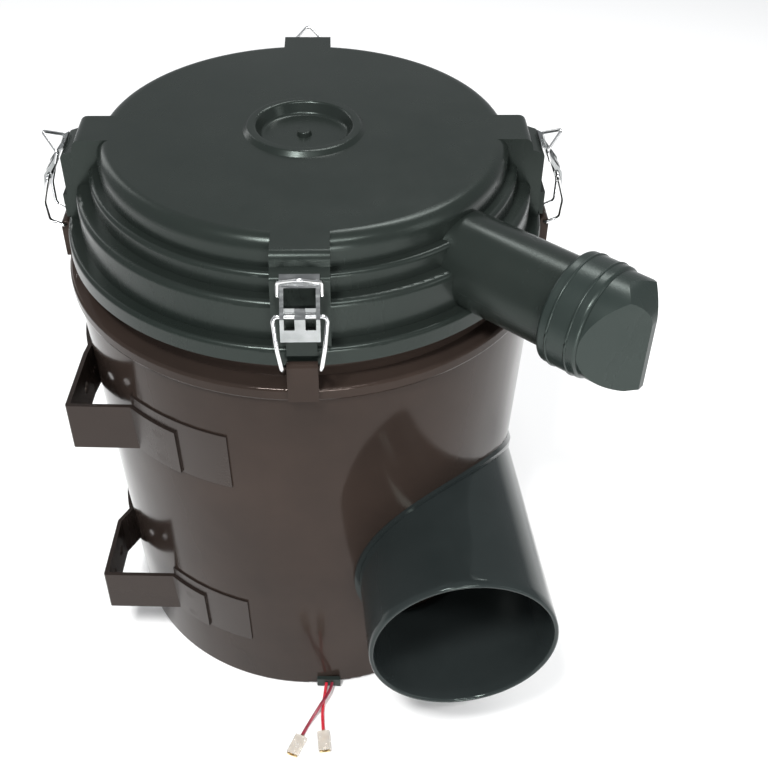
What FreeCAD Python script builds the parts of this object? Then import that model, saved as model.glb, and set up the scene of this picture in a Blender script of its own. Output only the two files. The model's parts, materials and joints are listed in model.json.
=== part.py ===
"""Canister dust collector with a tangential inlet, a latched cover and a rubber dust valve.

Millimetres, +Z up.  The origin is the centre of the canister's base.  The front latch faces -Y
and the mounting brackets face -X.
"""
import FreeCAD, Part
import math
import os
import Sketcher
from FreeCAD import Placement, Rotation, Vector

SIZES = {
    # canister
    "base_radius": 149.0,
    "rim_radius": 160.5,
    "wall_top": 308.0,
    "bead_radius": 163.5,
    "bead_height": 10.0,
    "neck_radius": 152.0,
    "neck_top": 340.0,
    "wall": 3.5,
    "outlet_radius": 58.0,
    "outlet_depth": 22.0,
    # inlet port, set to one side so that the air enters along the wall
    "port_radius": 64.0,
    "port_root_radius": 64.8,
    "port_land": 60.0,
    "port_wall": 3.0,
    "port_height": 131.0,
    "port_reach": 220.0,
    "port_angle": 7.0,
    # stepped cover
    "flange_radius": 160.0,
    "flange_bottom": 334.0,
    "flange_top": 346.0,
    "step_two_radius": 151.0,
    "step_two_top": 372.0,
    "step_one_radius": 141.0,
    "step_one_top": 385.0,
    "crown_radius": 134.0,
    "cover_top": 404.0,
    "cover_wall": 3.0,
    "lug_width": 34.0,
    "lug_reach": 157.0,
    "lug_drop": 10.7,
    "shelf_width": 8.0,
    "shelf_rise": 2.7,
    "rest_reach": 162.0,
    "rest_bottom": 343.0,
    "rest_top": 360.0,
    "dish_radius": 28.0,
    "dish_floor": 399.0,
    "rim_inner": 32.0,
    "rim_outer": 37.0,
    "rim_top": 407.0,
    "nub_top": 402.0,
    # dust tube and its valve
    "tube_radius": 29.0,
    "tube_wall": 3.0,
    "tube_height": 364.0,
    "tube_reach": 222.0,
    "tube_angle": 50.0,
    "cuff_radius": 35.0,
    "valve_length": 54.0,
    "lip_thickness": 5.0,
    # latches
    "wire": 2.6,
    "pivot_reach": 164.0,
    "pivot_height": 337.0,
    "bar_reach": 168.0,
    "bar_rise": 39.0,
    "latch_width": 22.5,
    "latch_sheet": 1.2,
    # mounting brackets
    "strap_height": 37.0,
    "strap_sheet": 3.0,
    "upper_strap": 242.0,
    "lower_strap": 71.0,
    "foot_reach": 154.0,
    "foot_front": 116.0,
    "foot_back": 62.0,
    "bolt_radius": 4.5,
    "bolt_spacing": 24.0,
    # filter
    "element_radius": 98.0,
    "element_top": 312.0,
    "core_radius": 64.0,
    "baffle_top": 150.0,
    "safety_radius": 50.0,
    "cap_height": 12.0,
    # fan and motor
    "duct_radius": 62.0,
    "bulkhead_top": 58.0,
    "collar_radius": 51.0,
    "collar_top": 80.0,
    "motor_radius": 25.0,
    "motor_bottom": 50.0,
    "motor_top": 98.0,
    "shaft_radius": 3.0,
    "bearing_radius": 8.0,
    "bearing_width": 5.0,
    "blade_reach": 60.0,
    "hub_radius": 20.0,
    # leads
    "lead_radius": 1.2,
    "grommet_height": 6.5,
    "grommet_side": 17.0,
}

SEAT_GAP = 0.1  # between curved faces that are fastened together
RUNNING = 0.05  # radial clearance of a pin in its hole
GAP = 0.3  # clearance between pieces that move past each other
OVERRUN = 2.0  # how far a cutting tool passes the face that it opens
LATCH_TURN = 2.8  # the four latches sit a little round from the straight-ahead lines
LATCH_SIDES = {"front": LATCH_TURN, "right": 90 + LATCH_TURN, "back": 180 + LATCH_TURN,
               "left": 270 + LATCH_TURN}
STRAPS = {"upper_bracket": "upper_strap", "lower_bracket": "lower_strap"}
Z_AXIS = Vector(0, 0, 1)
ACROSS = Rotation(Vector(0, 1, 0), 90)  # lays an upright bar along X

# canister
FLOOR = 4.0
BEAD_LEDGE = 2.0
EAR_WIDTH = 18.4
EAR_DEPTH = 6.0
EAR_BOTTOM = 312.0
SADDLE_SHEET = 2.5
SADDLE_WIDTH = 3.5
INLET_START = 20.0  # where the inlet's bars begin, well inside the wall

# cover
STEP_ROUNDS = (3.0, 4.0, 3.0, 9.0)
LUG_ROUNDS = (3.0, 5.5)  # on the edge that the hook holds, and above the shelf
LUG_LEAN = 1.5
LUG_ROOT = 10.0  # how far a lug reaches in under the crown
REST_WIDTH = 18.0
NUB_RADIUS = 4.0
GASKET_GAP = 0.2
GASKET_WIDTH = 3.8

# dust valve
VALVE_GRIP = 10.0
CUFF_LENGTH = 27.0
CUFF_ROUND = 2.5
VALVE_SKIN = 3.0
LIP_TOP = 15.0
LIP_BOTTOM = -32.0

# latches
BAIL_FOOT = 10.8
BAIL_HEAD = 15.5
BOW_REACH = 10.0
HOOK = 1.9
HOOK_GAP = 0.8
PLATE_DROP = 14.0
LEVER_EDGE = 2.3  # width of the strips left beside the lever's windows
LEVER_TONGUE = 3.0  # half width of the tongue over the cross bar
PULL_WIRE = 1.1

# mounting brackets
FLANGE_BEARINGS = {"front": (29.0, 40.0), "rear": (72.0, 85.0)}
TONGUE_END = 15.5
TONGUE_SHEET = 1.2
TONGUE_RISE = 9.5
RIVET_SPREAD = 11.0
RIVET_RADIUS = 2.4
RIVET_HEAD = 4.2
RIVET_SINK = 1.6

# fan
BLADES = 7
FAN_LOW = 28.0
BLADE_THICKNESS = 1.8
SHAFT_LOW = 26.0

# leads
GROMMET_HALF = 7.0
GROMMET_RISE = 2.3
GROMMET_FACE = 152.2
RED_ROUTE = [(15.2, -152.5, 6.5), (14.4, -162.0, 5.2), (13.2, -172.0, 2.6), (13.6, -182.5, 2.3),
             (14.8, -192.0, 2.3)]
DARK_ROUTE = [(19.6, -152.5, 6.5), (18.8, -159.0, 7.6), (15.0, -167.5, 8.4), (10.6, -175.0, 7.2),
              (5.6, -182.5, 3.4), (1.6, -190.0, 2.3), (-1.0, -196.5, 2.3)]


class Dim(float):
    """A length that remembers the spreadsheet expression it comes from."""

    def __new__(cls, number, text=None):
        made = float.__new__(cls, number)
        made.text = text if text is not None else f"{float(number):.6f}"
        return made

    def __add__(self, other):
        return Dim(float(self) + float(other), f"({self.text} + {text_of(other)})")

    def __radd__(self, other):
        return Dim(float(other) + float(self), f"({text_of(other)} + {self.text})")

    def __sub__(self, other):
        return Dim(float(self) - float(other), f"({self.text} - {text_of(other)})")

    def __rsub__(self, other):
        return Dim(float(other) - float(self), f"({text_of(other)} - {self.text})")

    def __mul__(self, other):
        return Dim(float(self) * float(other), f"({self.text} * {text_of(other)})")

    __rmul__ = __mul__

    def __truediv__(self, other):
        return Dim(float(self) / float(other), f"({self.text} / {text_of(other)})")

    def __neg__(self):
        return Dim(-float(self), f"(0 - {self.text})")


def text_of(number):
    return number.text if isinstance(number, Dim) else f"{float(number):.6f}"


doc = FreeCAD.newDocument("dust_collector")
sheet = doc.addObject("Spreadsheet::Sheet", "Sizes")
size = {}
for row, (alias, number) in enumerate(SIZES.items(), start=1):
    sheet.set(f"A{row}", alias)
    sheet.set(f"B{row}", str(number))
    sheet.setAlias(f"B{row}", alias)
    size[alias] = Dim(number, f"Sizes.{alias}")
doc.recompute()

nodes = {}


# ---------------------------------------------------------------- helpers

def bind(item, prop, length):
    """Set a property, and tie it to the sheet when the length comes from there."""
    if isinstance(length, Dim):
        item.setExpression(prop, length.text)
    else:
        setattr(item, prop, length)


def place(item, x=0.0, y=0.0, z=0.0, turn=None):
    item.Placement = Placement(Vector(float(x), float(y), float(z)), turn or Rotation())
    for letter, length in zip("xyz", (x, y, z)):
        if isinstance(length, Dim):
            item.setExpression(f"Placement.Base.{letter}", length.text)
    return item


def keep(item, name):
    """Name an object and list it as a piece of the assembly."""
    item.Label = name
    nodes[name] = item
    return item


def block(name, corner, lengths):
    item = doc.addObject("Part::Box", name)
    for prop, length in zip(("Length", "Width", "Height"), lengths):
        bind(item, prop, length)
    return place(item, *corner)


def round_bar(name, radius, height, at=(0.0, 0.0, 0.0), turn=None):
    item = doc.addObject("Part::Cylinder", name)
    bind(item, "Radius", radius)
    bind(item, "Height", height)
    return place(item, *at, turn=turn)


def cut(name, base, tool):
    item = doc.addObject("Part::Cut", name)
    item.Base = base
    item.Tool = tool
    return item


def common(name, first, second):
    item = doc.addObject("Part::Common", name)
    item.Base = first
    item.Tool = second
    return item


def fuse(name, shapes):
    item = doc.addObject("Part::MultiFuse", name)
    item.Shapes = shapes
    item.Refine = True
    return item


def ring(name, outer, inner, bottom, height):
    """A plain ring about the axis."""
    disc = round_bar(f"{name}_disc", outer, height, (0.0, 0.0, bottom))
    hole = round_bar(f"{name}_hole", inner, height + 2 * OVERRUN, (0.0, 0.0, bottom - OVERRUN))
    return cut(name, disc, hole)


def add_outline(body, name, role, corners):
    """A closed outline on one of the body's own planes, each corner held by two bound distances."""
    sketch = body.newObject("Sketcher::SketchObject", name)
    plane = [item for item in body.Origin.OriginFeatures if item.Role == role][0]
    sketch.AttachmentSupport = [(plane, "")]
    sketch.MapMode = "FlatFace"
    points = [Vector(float(x), float(y), 0) for x, y in corners]
    count = len(points)
    for index in range(count):
        sketch.addGeometry(Part.LineSegment(points[index], points[(index + 1) % count]), False)
    for index in range(count):
        following = (index + 1) % count
        sketch.addConstraint(Sketcher.Constraint("Coincident", index, 2, following, 1))
    for index, (x, y) in enumerate(corners):
        for kind, length in (("DistanceX", x), ("DistanceY", y)):
            held = Sketcher.Constraint(kind, -1, 1, index, 1, float(length))
            number = sketch.addConstraint(held)
            if isinstance(length, Dim):
                sketch.setExpression(f"Constraints[{number}]", length.text)
    return sketch


def turned(name, corners, rounds=()):
    """A body of revolution about Z; its outline is (radius, height) pairs.

    rounds holds (radius, height, fillet) of the circular edges to round off.
    """
    body = doc.addObject("PartDesign::Body", name)
    sketch = add_outline(body, f"{name}_outline", "XZ_Plane", corners)
    spun = body.newObject("PartDesign::Revolution", f"{name}_turned")
    spun.Profile = sketch
    spun.ReferenceAxis = (sketch, ["V_Axis"])
    spun.Angle = 360.0
    base = spun
    doc.recompute()
    for index, (radius, height, fillet) in enumerate(rounds):
        edge = ring_edge(base.Shape, float(radius), float(height))
        softened = body.newObject("PartDesign::Fillet", f"{name}_round_{index}")
        softened.Base = (base, [edge])
        bind(softened, "Radius", fillet)
        base = softened
        doc.recompute()
    return body


def ring_edge(shape, radius, height):
    """The name of the edge that circles the axis at this radius and height."""
    for index, edge in enumerate(shape.Edges, start=1):
        vertex = edge.Vertexes[0].Point
        near_radius = abs(math.hypot(vertex.x, vertex.y) - radius) < 0.01
        if near_radius and abs(vertex.z - height) < 0.01 and abs(edge.BoundBox.ZLength) < 0.01:
            if edge.Length > 2 * math.pi * radius * 0.99:
                return f"Edge{index}"
    raise ValueError(f"no edge at radius {radius} and height {height}")


def extruded(name, role, corners, length):
    """A body padded equally to both sides of one of its own planes."""
    body = doc.addObject("PartDesign::Body", name)
    sketch = add_outline(body, f"{name}_outline", role, corners)
    pad = body.newObject("PartDesign::Pad", f"{name}_pad")
    pad.Profile = sketch
    bind(pad, "Length", length)
    pad.Midplane = True
    return body


def shaped(name, shape, placement=None):
    """A piece whose shape is worked out here, because no feature makes it."""
    item = doc.addObject("Part::Feature", name)
    item.Shape = shape
    if placement is not None:
        item.Placement = placement
    return keep(item, name)


def about_axis(angle):
    """The turn that takes the front (-Y) to this bearing, seen from above, towards +X."""
    return Placement(Vector(0, 0, 0), Rotation(Z_AXIS, angle))


def wall_radius(height):
    """The canister's outer radius at this height of its tapered wall."""
    share = height / size["wall_top"]
    return size["base_radius"] + (size["rim_radius"] - size["base_radius"]) * share


def rounded_path(points, radii):
    """Straight runs joined by tangent arcs; radii belong to the inner points."""
    edges = []
    start = points[0]
    for index, radius in enumerate(radii, start=1):
        before = (points[index - 1] - points[index]).normalize()
        after = (points[index + 1] - points[index]).normalize()
        half = before.getAngle(after) / 2
        reach = radius / math.tan(half)
        first = points[index] + before * reach
        last = points[index] + after * reach
        middle_way = (before + after).normalize()
        middle = points[index] + middle_way * (radius / math.sin(half) - radius)
        edges.append(Part.LineSegment(start, first).toShape())
        edges.append(Part.Arc(first, middle, last).toShape())
        start = last
    edges.append(Part.LineSegment(start, points[-1]).toShape())
    return Part.Wire(edges)


def swept(path, radius):
    """A round bar along a path."""
    start = path.Edges[0]
    at = start.valueAt(start.FirstParameter)
    along = start.tangentAt(start.FirstParameter)
    section = Part.Wire(Part.makeCircle(radius, at, along))
    return path.makePipeShell([section], True, True)


def prism(corners, depth_vector):
    """A polygon carried along a vector."""
    closed = Part.makePolygon(list(corners) + [corners[0]])
    return Part.Face(closed).extrude(depth_vector)


def solids_of(shapes):
    return Part.makeCompound(list(shapes))


# ---------------------------------------------------------------- canister

def port_frame():
    """The port's mid point beside the axis, and the way its mouth looks."""
    angle = math.radians(size["port_angle"])
    outward = Vector(math.sin(angle), -math.cos(angle), 0)
    sideways = Vector(math.cos(angle), math.sin(angle), 0)
    centre = sideways * float(port_offset) + Vector(0, 0, float(size["port_height"]))
    return centre, outward


def port_bar(name, radius, start, end):
    """A round bar on the port's centre line, from start to end measured outward."""
    centre, outward = port_frame()
    at = centre + outward * float(start)
    turn = Rotation(Z_AXIS, outward)
    bar = doc.addObject("Part::Cylinder", name)
    bind(bar, "Radius", radius)
    bind(bar, "Height", end - start)
    bar.Placement = Placement(at, turn)
    return bar


def outer_form(name, extra):
    """The canister's tapered outer form as a solid, larger by extra."""
    top = size["wall_top"]
    cone = doc.addObject("Part::Cone", name)
    bind(cone, "Radius1", size["base_radius"] + extra)
    bind(cone, "Radius2", size["rim_radius"] + extra)
    bind(cone, "Height", top)
    return cone


def tapered_shell(bottom, top, inner, outer, start_angle, end_angle):
    """A piece of shell that follows the wall, between two bearings towards -X from the front."""
    low = wall_radius(bottom)
    high = wall_radius(top)
    corners = [Vector(0, -(low + inner), bottom), Vector(0, -(low + outer), bottom),
               Vector(0, -(high + outer), top), Vector(0, -(high + inner), top)]
    face = Part.Face(Part.makePolygon(corners + [corners[0]]))
    face.rotate(Vector(0, 0, 0), Z_AXIS, -float(start_angle))
    return face.revolve(Vector(0, 0, 0), Z_AXIS, -float(end_angle - start_angle))


def on_wall(bearing, height, extra=0.0):
    """A point on the wall at a bearing towards -X from the front."""
    angle = math.radians(bearing)
    radius = float(wall_radius(height)) + extra
    return Vector(-math.sin(angle) * radius, -math.cos(angle) * radius, float(height))


port_offset = size["base_radius"] + 2.0 - size["port_radius"]
port_bore = size["port_radius"] - size["port_wall"]


def rivet_places():
    """Each rivet's bearing and height: two on every flange of both straps."""
    found = []
    for strap in STRAPS.values():
        for first, last in FLANGE_BEARINGS.values():
            for side in (-1, 1):
                found.append(((first + last) / 2, float(size[strap]) + side * RIVET_SPREAD))
    return found


def radial_bar(bearing, height, start, end, radius):
    """A level round bar that stands out of the wall, start and end measured from its face."""
    at = on_wall(bearing, height, start)
    outward = Vector(at.x, at.y, 0).normalize()
    return Part.makeCylinder(radius, end - start, at, outward)


def latch_ear(side):
    """An upright ear beside the cover's flange that holds a bail's ends, and the bore for them."""
    reach = size["pivot_reach"]
    height = size["pivot_height"]
    half = EAR_WIDTH / 2
    web = block(f"ear_web_{side}", (-half, -(reach + EAR_DEPTH / 2), EAR_BOTTOM),
                (EAR_WIDTH, EAR_DEPTH, height - EAR_BOTTOM))
    eye = round_bar(f"ear_eye_{side}", EAR_DEPTH / 2, EAR_WIDTH, (-half, -reach, height), ACROSS)
    bore = round_bar(f"ear_bore_{side}", size["wire"] / 2 + RUNNING, 2 * EAR_WIDTH)
    bore.Placement = Placement(Vector(-EAR_WIDTH, -float(reach), float(height)), ACROSS)
    return fuse(f"ear_{side}", [web, eye]), bore


def make_canister():
    wall = size["wall"]
    bead_bottom = size["wall_top"] + BEAD_LEDGE
    bead_top = size["wall_top"] + size["bead_height"]
    inner_neck = size["neck_radius"] - wall
    outline = [
        (size["outlet_radius"], 0.0),
        (size["base_radius"], 0.0),
        (size["rim_radius"], size["wall_top"]),
        (size["bead_radius"], bead_bottom),
        (size["bead_radius"], bead_top),
        (size["neck_radius"], bead_top + BEAD_LEDGE),
        (size["neck_radius"], size["neck_top"]),
        (inner_neck, size["neck_top"]),
        (inner_neck, bead_top),
        (size["rim_radius"] - wall, size["wall_top"] - BEAD_LEDGE),
        (size["base_radius"] - wall, FLOOR),
        (size["outlet_radius"] + wall, FLOOR),
        (size["outlet_radius"] + wall, size["outlet_depth"]),
        (size["outlet_radius"], size["outlet_depth"]),
    ]
    rounds = [
        (size["base_radius"], 0.0, 3.0),
        (size["bead_radius"], bead_bottom, 1.5),
        (size["bead_radius"], bead_top, 2.0),
    ]
    shell = turned("canister_shell", outline, rounds)
    added = [shell]
    removed = [port_bar("port_opening", port_bore, Dim(0.0), size["port_reach"])]
    for side, angle in LATCH_SIDES.items():
        ear, bore = latch_ear(side)
        ear.Placement = about_axis(angle)
        bore.Placement = about_axis(angle).multiply(bore.Placement)
        added.append(ear)
        removed.append(bore)
    rivets = [radial_bar(bearing, height, -15.0, 5.0, RIVET_RADIUS + RUNNING)
              for bearing, height in rivet_places()]
    rivet_holes = doc.addObject("Part::Feature", "canister_rivet_holes")
    rivet_holes.Shape = solids_of(rivets)
    removed.append(rivet_holes)
    removed.append(block("lead_hole", (size["grommet_side"] - GROMMET_HALF, -size["base_radius"] - 5.0,
                                       size["grommet_height"] - GROMMET_RISE),
                         (2 * GROMMET_HALF, 20.0, 2 * GROMMET_RISE)))
    keep(cut("canister_body", fuse("canister_solid", added), fuse("canister_cuts", removed)),
         "canister_body")


def make_inlet():
    """The inlet tube, thicker at its root than on its hose land, and the ring round its root."""
    start = Dim(INLET_START)
    reach = size["port_reach"]
    root = port_bar("port_root", size["port_root_radius"], start, reach - size["port_land"])
    land = port_bar("port_land", size["port_radius"], start, reach)
    bore = port_bar("port_bore", port_bore, start - OVERRUN, reach + OVERRUN)
    tube = cut("port_tube", fuse("port_bars", [root, land]), bore)
    keep(cut("inlet_port", tube, outer_form("port_seat", 0.0)), "inlet_port")
    saddle = common("saddle_form", outer_form("saddle_outer", SADDLE_SHEET),
                    port_bar("saddle_bar", size["port_root_radius"] + SADDLE_WIDTH, start, reach))
    hollow = fuse("saddle_cuts", [outer_form("saddle_seat", 0.0),
                                  port_bar("saddle_bore", size["port_root_radius"], start - OVERRUN,
                                           reach + OVERRUN)])
    keep(cut("inlet_saddle_ring", saddle, hollow), "inlet_saddle_ring")


# ---------------------------------------------------------------- cover

def cover_outlines():
    """The cover's steps, its outer outline and the outline of its hollow."""
    wall = size["cover_wall"]
    steps = [
        (size["flange_radius"], size["flange_top"]),
        (size["step_two_radius"], size["step_two_top"]),
        (size["step_one_radius"], size["step_one_top"]),
        (size["crown_radius"], size["cover_top"]),
    ]
    outline = [(0.0, size["flange_bottom"]), (size["flange_radius"], size["flange_bottom"])]
    hollow = [(0.0, size["flange_bottom"] - OVERRUN),
              (size["flange_radius"] - wall, size["flange_bottom"] - OVERRUN)]
    for (radius, top), (next_radius, _) in zip(steps, steps[1:]):
        outline += [(radius, top), (next_radius, top)]
        hollow += [(radius - wall, top - wall), (next_radius - wall, top - wall)]
    outline += [
        (size["crown_radius"], size["cover_top"]),
        (size["rim_outer"] + wall, size["cover_top"]),
        (size["rim_outer"], size["rim_top"]),
        (size["rim_inner"], size["rim_top"]),
        (size["dish_radius"], size["dish_floor"]),
        (NUB_RADIUS + 1.0, size["dish_floor"]),
        (NUB_RADIUS, size["nub_top"]),
        (0.0, size["nub_top"]),
    ]
    hollow += [
        (size["crown_radius"] - wall, size["cover_top"] - wall),
        (size["rim_inner"] + wall / 2, size["cover_top"] - wall),
        (size["dish_radius"] + wall / 2, size["dish_floor"] - wall),
        (0.0, size["dish_floor"] - wall),
    ]
    return steps, outline, hollow


def level_edge(shape, y, z):
    """The name of the edge that runs along X at this y and z."""
    for index, edge in enumerate(shape.Edges, start=1):
        if all(abs(vertex.Y - y) < 0.01 and abs(vertex.Z - z) < 0.01 for vertex in edge.Vertexes):
            return f"Edge{index}"
    raise ValueError(f"no level edge at {y}, {z}")


def make_lug(side, angle):
    """A latch lug: a rounded block with a shelf in front of it that the lever hooks over."""
    face = size["lug_reach"]
    inner = size["crown_radius"] - LUG_ROOT
    low = size["flange_top"] - 1.0
    shoulder = size["cover_top"] - size["lug_drop"]
    back = size["shelf_width"] - face
    corners = [(-inner, low), (-face, low), (-face, shoulder), (back, shoulder + size["shelf_rise"]),
               (back + LUG_LEAN, size["cover_top"]), (-inner, size["cover_top"])]
    lug = extruded(f"lug_{side}", "YZ_Plane", corners, size["lug_width"])
    for index, (corner, fillet) in enumerate(zip((corners[2], corners[4]), LUG_ROUNDS)):
        doc.recompute()
        base = lug.Tip
        softened = lug.newObject("PartDesign::Fillet", f"lug_round_{index}_{side}")
        softened.Base = (base, [level_edge(base.Shape, float(corner[0]), float(corner[1]))])
        softened.Radius = fillet
    lug.Placement = about_axis(angle)
    return lug


def make_rest(side, angle):
    """The block under a lug that a closed latch rests over."""
    inner = size["step_two_radius"] - size["cover_wall"] / 2
    rest = block(f"rest_block_{side}", (0.0, 0.0, 0.0),
                 (REST_WIDTH, size["rest_reach"] - inner, size["rest_top"] - size["rest_bottom"]))
    corner = Vector(-REST_WIDTH / 2, -float(size["rest_reach"]), float(size["rest_bottom"]))
    rest.Placement = about_axis(angle).multiply(Placement(corner, Rotation()))
    return rest


def make_cover():
    wall = size["cover_wall"]
    steps, outline, hollow = cover_outlines()
    rounds = [(radius, top, fillet) for (radius, top), fillet in zip(steps, STEP_ROUNDS)]
    rounds += [(size["rim_outer"], size["rim_top"], 1.5), (size["rim_inner"], size["rim_top"], 2.0),
               (size["dish_radius"], size["dish_floor"], 3.0), (NUB_RADIUS, size["nub_top"], 1.0)]
    added = [turned("cover_form", outline, rounds)]
    for side, angle in LATCH_SIDES.items():
        added += [make_lug(side, angle), make_rest(side, angle)]
    inner_round = (size["crown_radius"] - wall, size["cover_top"] - wall, STEP_ROUNDS[-1] - wall)
    tube_bore = dust_bar("tube_opening", size["tube_radius"] - size["tube_wall"], Dim(100.0),
                         size["tube_reach"])
    removed = [turned("cover_hollow", hollow, [inner_round]), tube_bore]
    keep(cut("cover", fuse("cover_solid", added), fuse("cover_cuts", removed)), "cover")
    gasket_bottom = size["neck_top"] + GASKET_GAP
    gasket_outer = size["neck_radius"] - GASKET_GAP
    keep(ring("cover_gasket", gasket_outer, gasket_outer - GASKET_WIDTH, gasket_bottom,
              size["flange_top"] - wall - gasket_bottom), "cover_gasket")


# ---------------------------------------------------------------- dust tube and valve

def dust_place(distance):
    """The placement of a shape drawn along +X, moved outward along the dust tube's line."""
    outward_angle = float(size["tube_angle"]) - 90.0
    turn = Rotation(Z_AXIS, outward_angle)
    at = turn.multVec(Vector(float(distance), 0, 0)) + Vector(0, 0, float(size["tube_height"]))
    return Placement(at, turn)


def dust_bar(name, radius, start, end):
    """A round bar on the dust tube's line."""
    bar = doc.addObject("Part::Cylinder", name)
    bind(bar, "Radius", radius)
    bind(bar, "Height", end - start)
    lying = Placement(Vector(0, 0, 0), Rotation(Vector(0, 1, 0), 90))
    bar.Placement = dust_place(start).multiply(lying)
    return bar


def make_dust_tube():
    start = size["crown_radius"] - 20.0
    tube = cut("tube_pipe", dust_bar("tube_bar", size["tube_radius"], start, size["tube_reach"]),
               dust_bar("tube_bore", size["tube_radius"] - size["tube_wall"], start - OVERRUN,
                        size["tube_reach"] + OVERRUN))
    seat = doc.addObject("Part::Feature", "tube_seat")
    doc.recompute()
    seat.Shape = doc.getObject("cover_form").Shape
    keep(cut("dust_tube", tube, seat), "dust_tube")


def duckbill(length, radius, lip, top, bottom):
    """A round bar that two flat faces pinch to an upright lip, with a rounded brow, along +X."""
    bar = Part.makeCylinder(radius, length, Vector(0, 0, 0), Vector(1, 0, 0))
    plan = [Vector(0, -radius, -2 * radius), Vector(length, -lip / 2, -2 * radius),
            Vector(length, lip / 2, -2 * radius), Vector(0, radius, -2 * radius)]
    wedge = prism(plan, Vector(0, 0, 4 * radius))
    brow_start = Vector(0.3 * length, -radius, radius)
    brow_middle = Vector(0.8 * length, -radius, radius - 0.35 * (radius - top))
    lip_top = Vector(length, -radius, top)
    corners = [lip_top, Vector(length, -radius, bottom), Vector(0, -radius, bottom - 1.0),
               Vector(0, -radius, radius), brow_start]
    sides = [Part.LineSegment(a, b).toShape() for a, b in zip(corners, corners[1:])]
    brow = Part.Arc(brow_start, brow_middle, lip_top).toShape()
    profile = Part.Face(Part.Wire(sides + [brow])).extrude(Vector(0, 2 * radius, 0))
    return bar.common(wedge).common(profile)


def make_dust_valve():
    """A rubber cuff on the tube's end that runs out into two flat lips."""
    tube = float(size["tube_radius"])
    cuff = float(size["cuff_radius"])
    bill_length = float(size["valve_length"]) - CUFF_LENGTH
    bill_radius = cuff - 1.5
    outer = Part.makeCylinder(cuff, CUFF_LENGTH, Vector(0, 0, 0), Vector(1, 0, 0))
    outer = outer.makeFillet(CUFF_ROUND, [edge for edge in outer.Edges if edge.BoundBox.XLength < 0.1])
    bill = duckbill(bill_length, bill_radius, float(size["lip_thickness"]), LIP_TOP, LIP_BOTTOM)
    bill.translate(Vector(CUFF_LENGTH, 0, 0))
    socket = Part.makeCylinder(tube, VALVE_GRIP, Vector(0, 0, 0), Vector(1, 0, 0))
    throat = Part.makeCylinder(tube - VALVE_SKIN, CUFF_LENGTH - VALVE_GRIP, Vector(VALVE_GRIP, 0, 0),
                               Vector(1, 0, 0))
    inner_bill = duckbill(bill_length - VALVE_SKIN, tube - VALVE_SKIN, 1.0, LIP_TOP - VALVE_SKIN,
                          VALVE_SKIN - tube)
    inner_bill.translate(Vector(CUFF_LENGTH, 0, 0))
    shape = outer.fuse(bill).cut([socket, throat, inner_bill]).removeSplitter()
    shaped("dust_valve", shape, dust_place(size["tube_reach"] - VALVE_GRIP))


# ---------------------------------------------------------------- latches

def latch_point(sideways, reach, height):
    """A point on the front latch: reach is measured outward from the canister's axis."""
    return Vector(float(sideways), -float(reach), float(height))


def bail_wire(side):
    """The wire bail: two bowed legs, a cross bar at the top and ends that turn into the ear."""
    reach = float(size["pivot_reach"])
    low = float(size["pivot_height"])
    bow = reach + BOW_REACH
    right = [latch_point(EAR_WIDTH / 4, reach, low), latch_point(BAIL_FOOT, reach, low),
             latch_point(BAIL_FOOT + 0.4, bow - 0.5, low + 4.5),
             latch_point(BAIL_FOOT + 2.6, bow, low + 20.0),
             latch_point(BAIL_HEAD, size["bar_reach"], low + float(size["bar_rise"]))]
    left = [Vector(-point.x, point.y, point.z) for point in reversed(right)]
    path = rounded_path(right + left, [2.0, 4.0, 12.0, 3.0, 3.0, 12.0, 4.0, 2.0])
    shaped(f"latch_bail_{side}", swept(path, float(size["wire"]) / 2), about_axis(LATCH_SIDES[side]))


def lever_profile():
    """The lever's outline from the side: hook, sloping sheet, bend round the bar, plate."""
    sheet = float(size["latch_sheet"])
    reach = float(size["bar_reach"])
    high = float(size["pivot_height"] + size["bar_rise"])
    face = float(size["lug_reach"])
    shoulder = float(size["cover_top"] - size["lug_drop"])
    rise = float(size["shelf_rise"] / size["shelf_width"])
    return [
        latch_point(0, face - HOOK, shoulder + HOOK * rise + HOOK_GAP),
        latch_point(0, face + 0.55, shoulder - 0.55 * rise + HOOK_GAP),
        latch_point(0, face + 1.5, shoulder - 3.0),
        latch_point(0, reach - 1.0, high + 1.0),
        latch_point(0, reach + 2.0, high - 2.0),
        latch_point(0, reach + 4.0, high - PLATE_DROP),
        latch_point(0, reach + 4.0 + sheet, high - PLATE_DROP),
        latch_point(0, reach + 2.0 + sheet, high),
        latch_point(0, face + 1.6 + sheet, shoulder - 2.3),
        latch_point(0, face + 0.5 + sheet, shoulder + 1.0),
        latch_point(0, face - HOOK + sheet * rise, shoulder + HOOK * rise + HOOK_GAP + sheet),
    ]


def lever_sheet(side):
    """The lever: a hooked sheet round the bail's cross bar, cut away to show the bar."""
    reach = float(size["bar_reach"])
    high = float(size["pivot_height"] + size["bar_rise"])
    width = float(size["latch_width"])
    bore = float(size["wire"]) / 2 + RUNNING
    outline = lever_profile()
    for point in outline:
        point.x = -width / 2
    plate = prism(outline, Vector(width, 0, 0))
    eye = bore + float(size["latch_sheet"])
    barrel = Part.makeCylinder(eye, width, latch_point(-width / 2, reach, high), Vector(1, 0, 0))
    hole = Part.makeCylinder(bore, 2 * width, latch_point(-width, reach, high), Vector(1, 0, 0))
    opening = width - 2 * LEVER_EDGE
    upper = Part.makeBox(opening, 40.0, 9.0, Vector(-opening / 2, -reach - 10.0, high + 5.0))
    slots = []
    slot_width = opening / 2 - LEVER_TONGUE
    for start in (-opening / 2, LEVER_TONGUE):
        slots.append(Part.makeBox(slot_width, 10.0, 12.0, Vector(start, -reach - 9.2, high - 6.5)))
    shape = plate.fuse(barrel).cut([hole, upper] + slots).removeSplitter()
    shaped(f"latch_lever_{side}", shape, about_axis(LATCH_SIDES[side]))


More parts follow.
